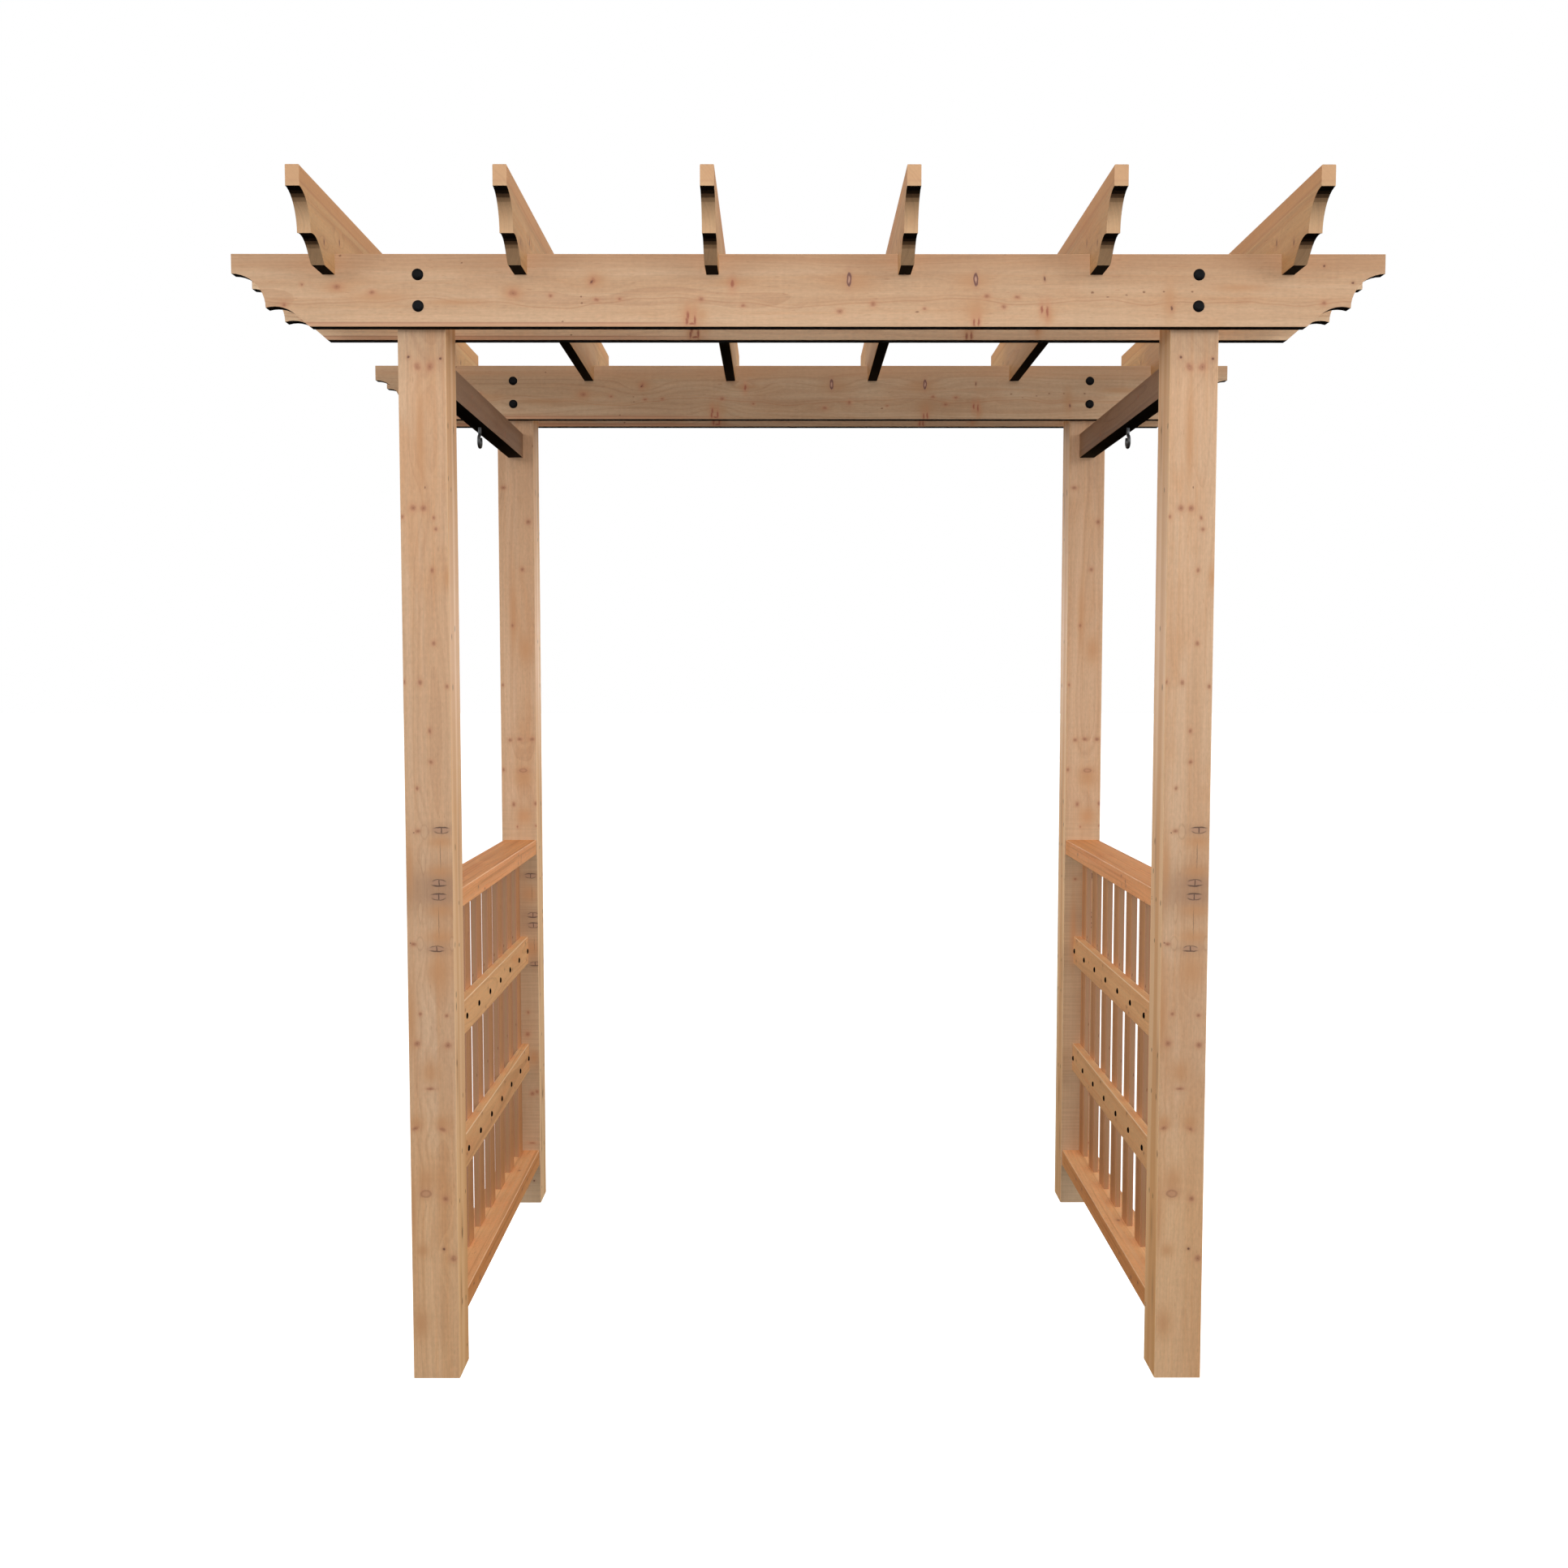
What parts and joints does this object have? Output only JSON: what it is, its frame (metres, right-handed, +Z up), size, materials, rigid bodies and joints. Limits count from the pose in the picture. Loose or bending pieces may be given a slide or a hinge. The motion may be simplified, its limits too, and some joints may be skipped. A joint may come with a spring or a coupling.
{
  "type": "garden arbor",
  "caption": "Freestanding cedar garden arbor: square posts, paired cove-ended crossbeams, notched rafters, slatted side panels and a screw hook under each side tie beam.",
  "frame": {"origin": "on the ground, at the middle of the four posts", "axes": "+Z up; X runs along the crossbeams, across the passage; Y runs front to back through the passage, with the front at -Y"},
  "size_m": [2.1076, 1.5756, 2.2125],
  "materials": {
    "cedar_post": "planed, unfinished",
    "cedar_beam": "planed, unfinished",
    "cedar_rafter": "planed, unfinished",
    "cedar_tie": "planed, unfinished",
    "cedar_rail": "planed, unfinished",
    "cedar_mid_rail": "planed, unfinished",
    "cedar_slat": "planed, unfinished",
    "bolt_black": "black coated steel",
    "hook_steel": "dull zinc plated"
  },
  "bodies": {
    "root": {"post_front_left": "cedar_post", "post_front_right": "cedar_post", "post_back_left": "cedar_post", "post_back_right": "cedar_post", "beam_front_outer": "cedar_beam", "beam_front_inner": "cedar_beam", "beam_back_inner": "cedar_beam", "beam_back_outer": "cedar_beam", "rafter_1": "cedar_rafter", "rafter_2": "cedar_rafter", "rafter_3": "cedar_rafter", "rafter_4": "cedar_rafter", "rafter_5": "cedar_rafter", "rafter_6": "cedar_rafter", "tie_beam_left": "cedar_tie", "tie_beam_right": "cedar_tie", "top_rail_left": "cedar_rail", "bottom_rail_left": "cedar_rail", "top_rail_right": "cedar_rail", "bottom_rail_right": "cedar_rail", "mid_rail_upper_left": "cedar_mid_rail", "mid_rail_lower_left": "cedar_mid_rail", "mid_rail_upper_right": "cedar_mid_rail", "mid_rail_lower_right": "cedar_mid_rail", "slats_left": "cedar_slat", "slats_right": "cedar_slat", "hook_left": "hook_steel", "hook_right": "hook_steel", "bolts_front_left": "bolt_black", "bolts_front_right": "bolt_black", "bolts_back_left": "bolt_black", "bolts_back_right": "bolt_black"}
  },
  "joints": []
}
